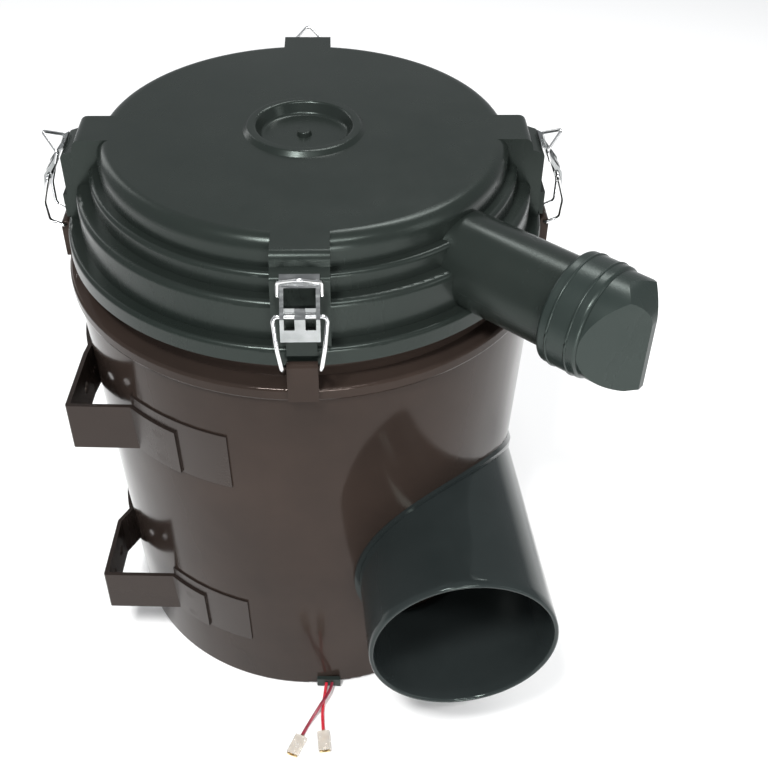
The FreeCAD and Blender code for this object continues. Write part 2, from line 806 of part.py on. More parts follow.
def pull_wire(side):
    """The finger pull: a pointed wire loop that leans out from the lever's hook end."""
    face = float(size["lug_reach"])
    shoulder = float(size["cover_top"] - size["lug_drop"])
    half = float(size["latch_width"]) / 2 + PULL_WIRE
    foot = latch_point(half, face + 2.4, shoulder - 0.3)
    heel = latch_point(half, face + 4.9, shoulder - 7.8)
    apex = latch_point(0, face + 13.0, shoulder + 8.7)
    points = [heel, foot, apex, Vector(-foot.x, foot.y, foot.z), Vector(-heel.x, heel.y, heel.z)]
    path = rounded_path(points, [2.0, 2.6, 2.0])
    shaped(f"latch_pull_{side}", swept(path, PULL_WIRE), about_axis(LATCH_SIDES[side]))


# ---------------------------------------------------------------- mounting brackets

def flat_leg(first, last, height):
    """An upright plate of strap sheet between two points of its middle line, with round ends."""
    sheet = float(size["strap_sheet"])
    along = Vector(last.x - first.x, last.y - first.y, 0).normalize()
    side = Vector(-along.y, along.x, 0) * (sheet / 2)
    plate = prism([first + side, last + side, last - side, first - side], Vector(0, 0, height))
    return plate.fuse([Part.makeCylinder(sheet / 2, height, end) for end in (first, last)])


def make_bracket(name, middle):
    """A strap with two flanges on the wall and a flat foot held away from it."""
    low = float(middle - size["strap_height"] / 2)
    high = float(middle + size["strap_height"] / 2)
    sheet = float(size["strap_sheet"])
    foot = -float(size["foot_reach"])
    front = -float(size["foot_front"])
    back = -float(size["foot_back"])
    wall = float(wall_radius(middle))
    turn_in = math.degrees(math.acos(-front / (wall + sheet / 2)))
    pieces = [tapered_shell(low, high, SEAT_GAP, sheet, FLANGE_BEARINGS["front"][0], turn_in),
              tapered_shell(low, high, SEAT_GAP, sheet, *FLANGE_BEARINGS["rear"]),
              tapered_shell(low, high + TONGUE_RISE, SEAT_GAP, TONGUE_SHEET, TONGUE_END, turn_in)]
    meets_wall = Vector(-math.sin(math.radians(turn_in)) * wall, front, low)
    line = [meets_wall, Vector(foot + sheet / 2, front, low), Vector(foot + sheet / 2, back, low),
            on_wall(FLANGE_BEARINGS["rear"][0], low, sheet / 2)]
    for first, last in zip(line, line[1:]):
        pieces.append(flat_leg(first, last, high - low))
    shape = pieces[0].fuse(pieces[1:])
    holes = [Part.makeCone(float(size["base_radius"]) + SEAT_GAP, float(size["rim_radius"]) + SEAT_GAP,
                           float(size["wall_top"]))]
    for side in (-1, 1):
        at_y = (front + back) / 2 + side * float(size["bolt_spacing"]) / 2
        holes.append(Part.makeCylinder(float(size["bolt_radius"]), 30.0,
                                       Vector(foot - 10.0, at_y, float(middle)), Vector(1, 0, 0)))
    for bearing, height in rivet_places():
        holes.append(radial_bar(bearing, height, -5.0, 15.0, RIVET_RADIUS + RUNNING))
        holes.append(rivet_head(bearing, height, RUNNING))
    shaped(name, shape.cut(holes).removeSplitter())


def rivet_head(bearing, height, extra):
    """A countersunk head, flush with the strap's outer face; extra makes it larger."""
    at = on_wall(bearing, height, float(size["strap_sheet"]) - RIVET_SINK)
    outward = Vector(at.x, at.y, 0).normalize()
    return Part.makeCone(RIVET_RADIUS + extra, RIVET_HEAD + extra, RIVET_SINK, at, outward)


def make_rivets():
    """Countersunk rivets that hold the straps' flanges to the wall."""
    made = []
    for bearing, height in rivet_places():
        shank = radial_bar(bearing, height, -float(size["wall"]) - 0.2,
                           float(size["strap_sheet"]) - RIVET_SINK / 2, RIVET_RADIUS)
        made.append(shank.fuse(rivet_head(bearing, height, 0.0)).removeSplitter())
    shaped("bracket_rivets", solids_of(made))


# ---------------------------------------------------------------- fan and motor

def make_fan_housing():
    """The bulkhead under the filter, with the fan's duct below and the outlet collar above."""
    sheet = 3.0
    top = size["bulkhead_top"]
    under = top - sheet
    edge = wall_radius(under) - size["wall"] - 0.6
    outline = [
        (size["collar_radius"] - sheet, under), (size["duct_radius"], under),
        (size["duct_radius"], FLOOR), (size["duct_radius"] + sheet, FLOOR),
        (size["duct_radius"] + sheet, under), (edge, under), (edge, top),
        (size["collar_radius"], top), (size["collar_radius"], size["collar_top"]),
        (size["collar_radius"] - sheet, size["collar_top"]),
    ]
    keep(turned("fan_housing", outline), "fan_housing")


def make_outlet_guard():
    """A wire guard over the fan: rings on six spokes about a small hub plate."""
    wire = 1.1
    height = float(size["outlet_depth"]) + wire + 0.05
    outer = float(size["outlet_radius"]) + 1.5
    hub = 9.0
    pieces = [Part.makeCylinder(hub, 2.0, Vector(0, 0, height - 0.9))]
    for radius in (outer, 41.0, 24.0):
        pieces.append(Part.makeTorus(radius, wire, Vector(0, 0, height)))
    for index in range(6):
        angle = math.radians(60.0 * index + 15.0)
        way = Vector(math.cos(angle), math.sin(angle), 0)
        foot = way * (hub - 1.0) + Vector(0, 0, height + 0.7)
        pieces.append(Part.makeCylinder(wire, outer - hub + 1.0, foot, way))
    shaped("outlet_guard", pieces[0].fuse(pieces[1:]))


def make_motor():
    """The motor's can with its bearings, magnets, armature and shaft."""
    can = 1.5
    top = size["motor_top"]
    bottom = size["motor_bottom"]
    seat = size["bearing_radius"]
    deep = size["bearing_width"] + can
    outline = [
        (size["shaft_radius"] + 1.5, bottom), (size["motor_radius"], bottom),
        (size["motor_radius"], top), (size["shaft_radius"] + 1.5, top),
        (size["shaft_radius"] + 1.5, top - can), (seat, top - can), (seat, top - deep),
        (seat + 2.0, top - deep), (seat + 2.0, top - can), (size["motor_radius"] - can, top - can),
        (size["motor_radius"] - can, bottom + can), (seat + 2.0, bottom + can),
        (seat + 2.0, bottom + deep), (seat, bottom + deep), (seat, bottom + can),
        (size["shaft_radius"] + 1.5, bottom + can),
    ]
    keep(turned("motor_can", outline), "motor_can")
    bore = size["shaft_radius"] + RUNNING
    keep(ring("motor_bearing_lower", seat, bore, bottom + can, size["bearing_width"]),
         "motor_bearing_lower")
    keep(ring("motor_bearing_upper", seat, bore, top - deep, size["bearing_width"]),
         "motor_bearing_upper")
    magnet_outer = float(size["motor_radius"] - can) - 0.1
    halves = []
    for turn in (0.0, 180.0):
        corners = [Vector(magnet_outer - 4.0, 0, float(bottom) + 12.0),
                   Vector(magnet_outer, 0, float(bottom) + 12.0),
                   Vector(magnet_outer, 0, float(top) - 12.0),
                   Vector(magnet_outer - 4.0, 0, float(top) - 12.0)]
        face = Part.Face(Part.makePolygon(corners + [corners[0]]))
        face.rotate(Vector(0, 0, 0), Z_AXIS, turn - 60.0)
        halves.append(face.revolve(Vector(0, 0, 0), Z_AXIS, 120.0))
    shaped("motor_magnets", solids_of(halves))
    keep(round_bar("motor_shaft", size["shaft_radius"], top - 1.0 - SHAFT_LOW,
                   (0.0, 0.0, SHAFT_LOW)), "motor_shaft")
    keep(ring("motor_armature", size["motor_radius"] - can - 5.0, size["shaft_radius"],
              bottom + 11.0, top - bottom - 22.0), "motor_armature")


def make_motor_mount():
    """A spider that holds the motor inside the outlet collar."""
    inner = float(size["motor_radius"])
    outer = float(size["collar_radius"]) - 3.0
    bottom = float(size["bulkhead_top"]) + 4.0
    rise = 7.0
    rings = [Part.makeCylinder(inner + 3.0, rise).cut(Part.makeCylinder(inner, rise)),
             Part.makeCylinder(outer, rise).cut(Part.makeCylinder(outer - 3.0, rise))]
    arms = []
    for index in range(3):
        arm = Part.makeBox(outer - 1.5 - inner - 1.5, 6.0, rise)
        arm.translate(Vector(inner + 1.5, -3.0, 0))
        arm.rotate(Vector(0, 0, 0), Z_AXIS, 120.0 * index + 30.0)
        arms.append(arm)
    shape = rings[0].fuse(rings[1:] + arms).removeSplitter()
    shape.translate(Vector(0, 0, bottom))
    shaped("motor_spider", shape)


def make_fan():
    """An axial fan on the motor's shaft; each blade is a twisted plate."""
    low = FAN_LOW
    high = float(size["motor_bottom"]) - 3.0
    thick = BLADE_THICKNESS / 2
    hub_radius = float(size["hub_radius"])
    hub = Part.makeCylinder(hub_radius, high - low, Vector(0, 0, low))
    blades = []
    for index in range(BLADES):
        sections = []
        for reach, pitch, chord in ((hub_radius - 1.5, 38.0, 15.0), (40.0, 30.0, 22.0),
                                    (float(size["blade_reach"]), 22.0, 27.0)):
            half = chord / 2
            corners = [Vector(reach, -half, -thick), Vector(reach, half, -thick),
                       Vector(reach, half, thick), Vector(reach, -half, thick)]
            wire = Part.makePolygon(corners + [corners[0]])
            wire.rotate(Vector(reach, 0, 0), Vector(1, 0, 0), pitch)
            sections.append(wire)
        blade = Part.makeLoft(sections, True, True)
        blade.translate(Vector(0, 0, (low + high) / 2))
        blade.rotate(Vector(0, 0, 0), Z_AXIS, index * 360.0 / BLADES)
        blades.append(blade)
    bore = Part.makeCylinder(float(size["shaft_radius"]), high, Vector(0, 0, low - 10.0))
    shaped("fan_rotor", hub.fuse(blades).cut(bore).removeSplitter())


# ---------------------------------------------------------------- filter

def pleated(name, outer, depth, bottom, top, pleats):
    """A folded paper ring: a thick zigzag all the way round."""
    paper = 1.2
    outside = []
    inside = []
    for index in range(2 * pleats):
        angle = math.pi * index / pleats
        reach = outer if index % 2 == 0 else outer - depth
        for ring_points, radius in ((outside, reach), (inside, reach - paper)):
            ring_points.append(Vector(radius * math.cos(angle), radius * math.sin(angle), bottom))
    outer_wire = Part.makePolygon(outside + [outside[0]])
    inner_wire = Part.makePolygon(inside + [inside[0]])
    face = Part.Face(outer_wire).cut(Part.Face(inner_wire))
    shaped(name, face.extrude(Vector(0, 0, top - bottom)))


def perforated(name, radius, sheet, bottom, top):
    """A thin slotted tube."""
    tube = Part.makeCylinder(radius, top - bottom, Vector(0, 0, bottom))
    hollow = Part.makeCylinder(radius - sheet, top - bottom, Vector(0, 0, bottom))
    slots = []
    for index in range(6):
        slot = Part.makeBox(3 * radius, 6.0, (top - bottom) * 0.8)
        slot.translate(Vector(-1.5 * radius, -3.0, bottom + (top - bottom) * 0.1))
        slot.rotate(Vector(0, 0, 0), Z_AXIS, 30.0 * index)
        slots.append(slot)
    shaped(name, tube.cut([hollow] + slots))


def make_filter():
    """The main element and, inside it, the safety element; both seal on the collar."""
    cap = size["cap_height"]
    outer = size["element_radius"]
    seat = size["bulkhead_top"]
    top = size["element_top"]
    inner = size["collar_radius"]
    keep(ring("element_seal", outer, inner, seat, cap), "element_seal")
    low = float(seat + cap)
    high = float(top - cap)
    pleated("element_media", float(outer) - 3.0, 26.0, low, high, 48)
    perforated("element_screen", float(outer) - 0.5, 1.5, low, high)
    perforated("element_core", float(size["core_radius"]), 1.5, low, high)
    keep(round_bar("element_end_cap", outer, cap, (0.0, 0.0, top - cap)), "element_end_cap")
    safety_low = size["collar_top"]
    safety_high = top - cap - 8.0
    safety = size["safety_radius"]
    keep(ring("safety_seal", safety + 4.0, size["motor_radius"] + 9.0, safety_low, 6.0), "safety_seal")
    pleated("safety_media", float(safety), 9.0, float(safety_low) + 6.0, float(safety_high), 36)
    keep(round_bar("safety_end_cap", safety + 1.0, 8.0, (0.0, 0.0, safety_high)), "safety_end_cap")
    baffle = outer + 14.0
    keep(ring("inlet_baffle", baffle, baffle - 1.5, seat, size["baffle_top"]), "inlet_baffle")


# ---------------------------------------------------------------- leads

def make_lead(name, route):
    """A loose lead: straight runs joined by the largest arcs that fit between them."""
    points = [Vector(*place_of) for place_of in route]
    radii = []
    for before, at, after in zip(points, points[1:], points[2:]):
        turn = (at - before).getAngle(after - at)
        shorter = min((at - before).Length, (after - at).Length)
        radii.append(0.45 * shorter / math.tan(turn / 2))
    path = rounded_path(points, radii)
    tube = swept(path, float(size["lead_radius"]))
    section = math.pi * float(size["lead_radius"]) ** 2
    print(name, "radii", [round(radius, 1) for radius in radii], "length", round(path.Length, 2),
          "volume share", round(tube.Volume / (section * path.Length), 4))
    shaped(name, tube)
    return points


def end_place(points):
    """The placement at a lead's far end, with +X along its last run."""
    along = (points[-1] - points[-2]).normalize()
    turn = Rotation(Vector(1, 0, 0), Vector(along.x, along.y, 0))
    return Placement(points[-1], turn)


def make_terminal(name, points):
    """A flat push-on terminal: crimp barrel, neck and a receptacle with rolled edges."""
    barrel = Part.makeCylinder(1.5, 6.0, Vector(0, 0, 0), Vector(1, 0, 0))
    neck = Part.makeBox(4.0, 3.0, 0.8, Vector(5.5, -1.5, -1.5))
    floor = Part.makeBox(8.5, 7.4, 0.8, Vector(9.0, -3.7, -1.5))
    shape = barrel.fuse([neck, floor])
    for side in (-1, 1):
        roll = Part.makeCylinder(1.05, 8.5, Vector(9.0, side * 2.7, -0.4), Vector(1, 0, 0))
        shape = shape.fuse(roll)
    shaped(name, shape.removeSplitter(), end_place(points))


def make_sleeve(name, points):
    """A clear sleeve over the terminal, open at both ends."""
    outer = Part.makeBox(16.0, 9.4, 4.4, Vector(1.0, -4.7, -2.2))
    outer = outer.makeFillet(1.4, [edge for edge in outer.Edges if edge.BoundBox.XLength > 15.0])
    inner = Part.makeBox(20.0, 8.4, 3.4, Vector(0.0, -4.2, -1.7))
    inner = inner.makeFillet(0.9, [edge for edge in inner.Edges if edge.BoundBox.XLength > 15.0])
    shaped(name, outer.cut(inner), end_place(points))


def make_grommet():
    """The rubber bush where the leads leave the wall."""
    half = GROMMET_HALF
    rise = GROMMET_RISE
    x = float(size["grommet_side"])
    z = float(size["grommet_height"])
    face = GROMMET_FACE
    plug = Part.makeBox(2 * half, 6.0, 2 * rise, Vector(x - half, -face + 0.9, z - rise))
    lip = Part.makeBox(2 * half + 4.0, 3.2, 2 * rise + 3.4, Vector(x - half - 2.0, -face, z - rise - 1.7))
    wall = Part.makeCone(float(size["base_radius"]), float(size["rim_radius"]), float(size["wall_top"]))
    lip = lip.cut(wall)
    shaped("wire_grommet", plug.fuse(lip).removeSplitter())


# ---------------------------------------------------------------- build

def check_document():
    for item in doc.Objects:
        if "Invalid" in item.State or "Error" in item.State:
            raise RuntimeError(f"{item.Label} failed: {item.State}")
    for name, item in nodes.items():
        if item.Shape.isNull() or not item.Shape.isValid() or not item.Shape.Solids:
            raise RuntimeError(f"{name} has no valid solid")


def main():
    make_canister()
    make_inlet()
    make_cover()
    make_dust_tube()
    make_dust_valve()
    for side in LATCH_SIDES:
        bail_wire(side)
        lever_sheet(side)
        pull_wire(side)
    for name, strap in STRAPS.items():
        make_bracket(name, size[strap])
    make_rivets()
    make_fan_housing()
    make_outlet_guard()
    make_motor()
    make_motor_mount()
    make_fan()
    make_filter()
    make_grommet()
    for colour, route in (("red", RED_ROUTE), ("dark", DARK_ROUTE)):
        points = make_lead(f"{colour}_lead", route)
        make_terminal(f"{colour}_terminal", points)
        make_sleeve(f"{colour}_sleeve", points)
    doc.recompute()
    check_document()
    os.makedirs("parts", exist_ok=True)
    for name, item in nodes.items():
        item.Shape.exportStep(f"parts/{name}.step")
        print(name, len(item.Shape.Solids), "solids", round(item.Shape.Volume), "mm3")


main()
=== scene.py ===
"""Looks of the canister dust collector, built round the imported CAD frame.  Metres, +Z up."""
import json
import math

import bpy
from mathutils import Matrix, Vector


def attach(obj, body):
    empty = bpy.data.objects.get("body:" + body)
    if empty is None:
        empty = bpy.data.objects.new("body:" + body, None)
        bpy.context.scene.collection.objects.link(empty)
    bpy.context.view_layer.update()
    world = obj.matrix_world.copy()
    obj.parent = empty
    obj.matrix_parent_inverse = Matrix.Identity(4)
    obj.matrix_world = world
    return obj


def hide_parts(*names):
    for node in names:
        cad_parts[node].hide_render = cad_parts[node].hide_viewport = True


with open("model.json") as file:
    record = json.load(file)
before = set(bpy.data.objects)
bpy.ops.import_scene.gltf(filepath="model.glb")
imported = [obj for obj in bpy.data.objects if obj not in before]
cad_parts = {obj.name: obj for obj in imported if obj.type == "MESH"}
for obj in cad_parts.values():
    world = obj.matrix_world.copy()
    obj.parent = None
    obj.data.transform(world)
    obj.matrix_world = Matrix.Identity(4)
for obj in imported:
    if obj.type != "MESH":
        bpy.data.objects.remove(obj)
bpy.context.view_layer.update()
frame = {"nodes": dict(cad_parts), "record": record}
nodes = frame["nodes"]
record = frame["record"]
SIDES = ("front", "right", "back", "left")
MM = 0.001


# ---------------------------------------------------------------- camera, in metres and degrees

SENSOR_WIDTH = 36.0
LENS = 51.56
CLIP_START = 0.02
CAMERA_PLACE = (0.0555, -0.6547, 0.7438)
CAMERA_PITCH = 40.485
CAMERA_ROLL = -1.15


def add_camera():
    """The viewing angle: above the front, a little to the right, looking along +Y and down."""
    data = bpy.data.cameras.new("view")
    data.sensor_width = SENSOR_WIDTH
    data.lens = LENS
    data.clip_start = CLIP_START
    camera = bpy.data.objects.new("view", data)
    bpy.context.scene.collection.objects.link(camera)
    pitch = math.radians(CAMERA_PITCH)
    roll = math.radians(CAMERA_ROLL)
    forward = Vector((0.0, math.cos(pitch), -math.sin(pitch)))
    level = Vector((1.0, 0.0, 0.0))
    rise = Vector((0.0, math.sin(pitch), math.cos(pitch)))
    right = math.cos(roll) * level - math.sin(roll) * rise
    up = math.sin(roll) * level + math.cos(roll) * rise
    turn = Matrix((right, up, -forward)).transposed().to_4x4()
    turn.translation = Vector(CAMERA_PLACE)
    camera.matrix_world = turn
    bpy.context.scene.camera = camera


add_camera()


# ---------------------------------------------------------------- leads, routes in millimetres

RED_ROUTE = [(15.2, -152.5, 6.5), (14.4, -162.0, 5.2), (13.2, -172.0, 2.6), (13.6, -182.5, 2.3),
             (14.8, -192.0, 2.3)]
DARK_ROUTE = [(19.6, -152.5, 6.5), (18.8, -159.0, 7.6), (15.0, -167.5, 8.4), (10.6, -175.0, 7.2),
              (5.6, -182.5, 3.4), (1.6, -190.0, 2.3), (-1.0, -196.5, 2.3)]
LEAD_RADIUS = 1.2 * MM


def add_lead(name, route):
    """A lead as one smooth NURBS curve with a round section."""
    data = bpy.data.curves.new(name, "CURVE")
    data.dimensions = "3D"
    spline = data.splines.new("NURBS")
    spline.points.add(len(route) - 1)
    for point, place in zip(spline.points, route):
        point.co = (place[0] * MM, place[1] * MM, place[2] * MM, 1.0)
        point.radius = LEAD_RADIUS
    spline.order_u = 3
    spline.use_endpoint_u = True
    spline.resolution_u = 16
    # The bevel multiplies the points' radius, which is the lead's own and sets the curve's box.
    data.bevel_depth = 1.0
    data.bevel_resolution = 6
    data.use_fill_caps = True
    lead = bpy.data.objects.new(name, data)
    bpy.context.scene.collection.objects.link(lead)
    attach(lead, "canister")
    return lead


def curve_length(lead):
    """The length of a curve's own line."""
    bare = lead.data.copy()
    bare.bevel_depth = 0.0
    holder = bpy.data.objects.new("measure", bare)
    mesh = bpy.data.meshes.new_from_object(holder)
    total = sum((mesh.vertices[edge.vertices[0]].co - mesh.vertices[edge.vertices[1]].co).length
                for edge in mesh.edges)
    bpy.data.objects.remove(holder)
    return total


def add_leads():
    """Both leads from the bush to their terminals, in place of the CAD's."""
    made = {}
    for colour, route in (("red", RED_ROUTE), ("dark", DARK_ROUTE)):
        lead = add_lead(f"{colour}_wire", route)
        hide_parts(f"{colour}_lead")
        curve_length(lead)
        made[colour] = lead
    return made


leads = add_leads()


# ---------------------------------------------------------------- floor and light, in metres

FLOOR_REACH = 4.0
FLOOR_COLOUR = (0.92, 0.92, 0.915, 1.0)
FLOOR_ROUGHNESS = 0.75
SKY_COLOUR = (0.95, 0.97, 1.0, 1.0)
SKY_STRENGTH = 0.46
MIDDLE = (0.0, 0.0, 0.25)
INLET_ROOT = (0.11, -0.15, 0.13)
# Each light's name, place, target, width, depth and watts.
LIGHTS = (
    ("key", (-0.30, -0.95, 1.75), MIDDLE, 0.30, 0.30, 34.0),
    ("top", (0.35, 0.75, 1.7), MIDDLE, 0.9, 0.3, 12.0),
    ("fill", (1.9, -0.8, 1.0), MIDDLE, 0.4, 1.4, 6.0),
    ("rim", (-1.5, 1.3, 1.2), MIDDLE, 0.4, 1.4, 5.0),
    ("strip", (0.45, -1.15, 1.7), MIDDLE, 0.50, 0.10, 12.0),
    ("mouth", (0.35, -1.5, 0.30), INLET_ROOT, 0.3, 0.3, 11.0),
)


def add_floor():
    """A plain pale floor that runs past the view on every side."""
    mesh = bpy.data.meshes.new("floor")
    reach = FLOOR_REACH
    mesh.from_pydata([(-reach, -reach, 0.0), (reach, -reach, 0.0), (reach, reach, 0.0),
                      (-reach, reach, 0.0)], [], [(0, 1, 2, 3)])
    floor = bpy.data.objects.new("floor", mesh)
    bpy.context.scene.collection.objects.link(floor)
    material = bpy.data.materials.new("pale_floor")
    material.use_nodes = True
    shader = material.node_tree.nodes["Principled BSDF"]
    shader.inputs["Base Color"].default_value = FLOOR_COLOUR
    shader.inputs["Roughness"].default_value = FLOOR_ROUGHNESS
    mesh.materials.append(material)


def add_light(name, place, target, width, depth, watts):
    """A white area light that faces its target."""
    data = bpy.data.lights.new(name, "AREA")
    data.shape = "RECTANGLE"
    data.size = width
    data.size_y = depth
    data.energy = watts
    light = bpy.data.objects.new(name, data)
    light.location = place
    aim = Vector(target) - Vector(place)
    light.rotation_euler = aim.to_track_quat("-Z", "Y").to_euler()
    bpy.context.scene.collection.objects.link(light)


def add_lights():
    """A key from the front left, a strip for bright edges, a light in the inlet, and weak fills."""
    for light in LIGHTS:
        add_light(*light)


def add_sky():
    """An even, dim sky, and plain tones so that the floor runs to white."""
    world = bpy.data.worlds.new("studio")
    world.use_nodes = True
    back = world.node_tree.nodes["Background"]
    back.inputs["Color"].default_value = SKY_COLOUR
    back.inputs["Strength"].default_value = SKY_STRENGTH
    bpy.context.scene.world = world
    bpy.context.scene.view_settings.view_transform = "Standard"


add_floor()
add_lights()
add_sky()


# ---------------------------------------------------------------- materials

class Finish:
    """A procedural material that starts from a Principled shader in object coordinates."""

    def __init__(self, name, roughness=0.5, metallic=0.0):
        self.material = bpy.data.materials.new(name)
        self.material.use_nodes = True
        self.tree = self.material.node_tree
        self.shader = self.tree.nodes["Principled BSDF"]
        self.shader.inputs["Roughness"].default_value = roughness
        self.shader.inputs["Metallic"].default_value = metallic
        self.places = self.tree.nodes.new("ShaderNodeTexCoord").outputs["Object"]

    def stretch(self, scale):
        """Object coordinates scaled by axis, which draws a texture out into streaks."""
        mapping = self.tree.nodes.new("ShaderNodeMapping")
        mapping.inputs["Scale"].default_value = scale
        self.tree.links.new(self.places, mapping.inputs["Vector"])
        return mapping.outputs["Vector"]

    def noise(self, scale, detail=3.0, rough=0.5, vector=None):
        """Cloudy noise from 0 to 1, with scale in clouds to the metre."""
        node = self.tree.nodes.new("ShaderNodeTexNoise")
        node.inputs["Scale"].default_value = scale
        node.inputs["Detail"].default_value = detail
        node.inputs["Roughness"].default_value = rough
        self.tree.links.new(vector or self.places, node.inputs["Vector"])
        return node.outputs["Fac"]

    def cells(self, scale, vector=None):
        """The distance to the nearest of scattered points, scale of them to the metre."""
        node = self.tree.nodes.new("ShaderNodeTexVoronoi")
        node.inputs["Scale"].default_value = scale
        self.tree.links.new(vector or self.places, node.inputs["Vector"])
        return node.outputs["Distance"]

    def span(self, value, low, high, from_low=0.3, from_high=0.7):
        """A value's middle range spread from low to high."""
        node = self.tree.nodes.new("ShaderNodeMapRange")
        node.inputs["From Min"].default_value = from_low
        node.inputs["From Max"].default_value = from_high
        node.inputs["To Min"].default_value = low
        node.inputs["To Max"].default_value = high
        self.tree.links.new(value, node.inputs["Value"])
        return node.outputs["Result"]

    def mix(self, factor, first, second):
        """A colour between two, each a colour or another node's output."""
        node = self.tree.nodes.new("ShaderNodeMix")
        node.data_type = "RGBA"
        self.tree.links.new(factor, node.inputs["Factor"])
        for socket, colour in (("A", first), ("B", second)):
            place = [item for item in node.inputs if item.name == socket and item.type == "RGBA"][0]
            if isinstance(colour, tuple):
                place.default_value = (*colour, 1.0)
            else:
                self.tree.links.new(colour, place)
        return [item for item in node.outputs if item.type == "RGBA"][0]

    def add(self, first, second, weight):
        """The first value and a share of the second."""
        node = self.tree.nodes.new("ShaderNodeMath")
        node.operation = "MULTIPLY_ADD"
        node.inputs[1].default_value = weight
        self.tree.links.new(second, node.inputs[0])
        self.tree.links.new(first, node.inputs[2])
        return node.outputs["Value"]

    def colour(self, output):
        self.tree.links.new(output, self.shader.inputs["Base Color"])

    def tint(self, value, dark, light):
        """The surface's colour, between dark and light as the value goes."""
        self.colour(self.mix(self.span(value, 0.0, 1.0), dark, light))

    def rough(self, output):
        self.tree.links.new(output, self.shader.inputs["Roughness"])

    def bump(self, output, depth):
        """Relief of that depth, in metres."""
        node = self.tree.nodes.new("ShaderNodeBump")
        node.inputs["Strength"].default_value = 1.0
        node.inputs["Distance"].default_value = depth
        self.tree.links.new(output, node.inputs["Height"])
        self.tree.links.new(node.outputs["Normal"], self.shader.inputs["Normal"])

    def set(self, **values):
        """Other inputs of the shader, by name."""
        for name, value in values.items():
            self.shader.inputs[name.replace("_", " ")].default_value = value
        return self


def plastic(name, dark, light, low, high, grain, grain_depth, wave_depth, **uniform):
    """Moulded plastic: mottled colour, smears in the gloss, fine grain on a slightly wavy wall."""
    made = Finish(name)
    mottle = made.noise(9.0, 4.0, 0.6)
    made.tint(mottle, dark, light)
    smear = made.noise(26.0, 5.0, 0.65, made.stretch((1.0, 1.0, 0.35)))
    made.rough(made.span(smear, low, high))
    wave = made.noise(14.0, 1.0)
    fine = made.noise(grain, 2.0)
    made.bump(made.add(wave, fine, grain_depth / wave_depth), wave_depth)
    return made.set(**uniform).material


def metal(name, dark, light, low, high, streak, depth, metallic=1.0):
    """Plated or plain metal: drawn streaks, a patchy tint and small handling marks."""
    made = Finish(name, metallic=metallic)
    patch = made.noise(60.0, 3.0)
    made.tint(patch, dark, light)
    lines = made.noise(120.0, 4.0, 0.6, made.stretch(streak))
    made.rough(made.span(lines, low, high))
    made.bump(lines, depth)
    return made.material


def filter_paper():
    """Pleated paper, fibrous and straw coloured."""
    made = Finish("filter_paper", roughness=0.9)
    fibres = made.noise(420.0, 6.0, 0.7)
    made.tint(fibres, (0.62, 0.52, 0.33), (0.78, 0.69, 0.48))
    made.bump(fibres, 0.00015)
    return made.material


def perforated_sheet():
    """Galvanised sheet with staggered round holes drawn as dots of painted shade sunk below the
    surface.
    """
    made = Finish("perforated_sheet", metallic=1.0)
    holes = made.span(made.cells(190.0), 0.0, 1.0, 0.32, 0.36)
    spangle = made.noise(45.0, 2.0)
    sheet = made.mix(made.span(spangle, 0.0, 1.0), (0.50, 0.51, 0.52), (0.68, 0.69, 0.70))
    # The holes' near-black colour is painted shade, the dark seen into each hole.
    made.colour(made.mix(holes, (0.03, 0.03, 0.03), sheet))
    made.rough(made.span(spangle, 0.28, 0.45))
    made.bump(holes, 0.0004)
    return made.material


def clear_sleeve():
    """Slightly cloudy, see-through sleeve."""
    made = Finish("clear_sleeve")
    cloud = made.noise(300.0, 3.0)
    made.tint(cloud, (0.80, 0.74, 0.66), (0.92, 0.88, 0.82))
    made.rough(made.span(cloud, 0.12, 0.3))
    made.bump(cloud, 0.0001)
    return made.set(Transmission_Weight=0.55, IOR=1.46).material


def insulation(name, dark, light):
    """Soft, slightly glossy insulation on a lead."""
    made = Finish(name)
    cloud = made.noise(260.0, 3.0)
    made.tint(cloud, dark, light)
    made.rough(made.span(cloud, 0.25, 0.42))
    made.bump(cloud, 0.00006)
    return made.material


def windings():
    """Enamelled wire laid round the armature between dark laminations."""
    made = Finish("windings", metallic=0.6)
    turns = made.noise(40.0, 1.0, 0.5, made.stretch((1.0, 1.0, 60.0)))
    made.tint(turns, (0.22, 0.07, 0.03), (0.55, 0.22, 0.08))
    made.rough(made.span(turns, 0.25, 0.45))
    made.bump(turns, 0.0003)
    return made.material
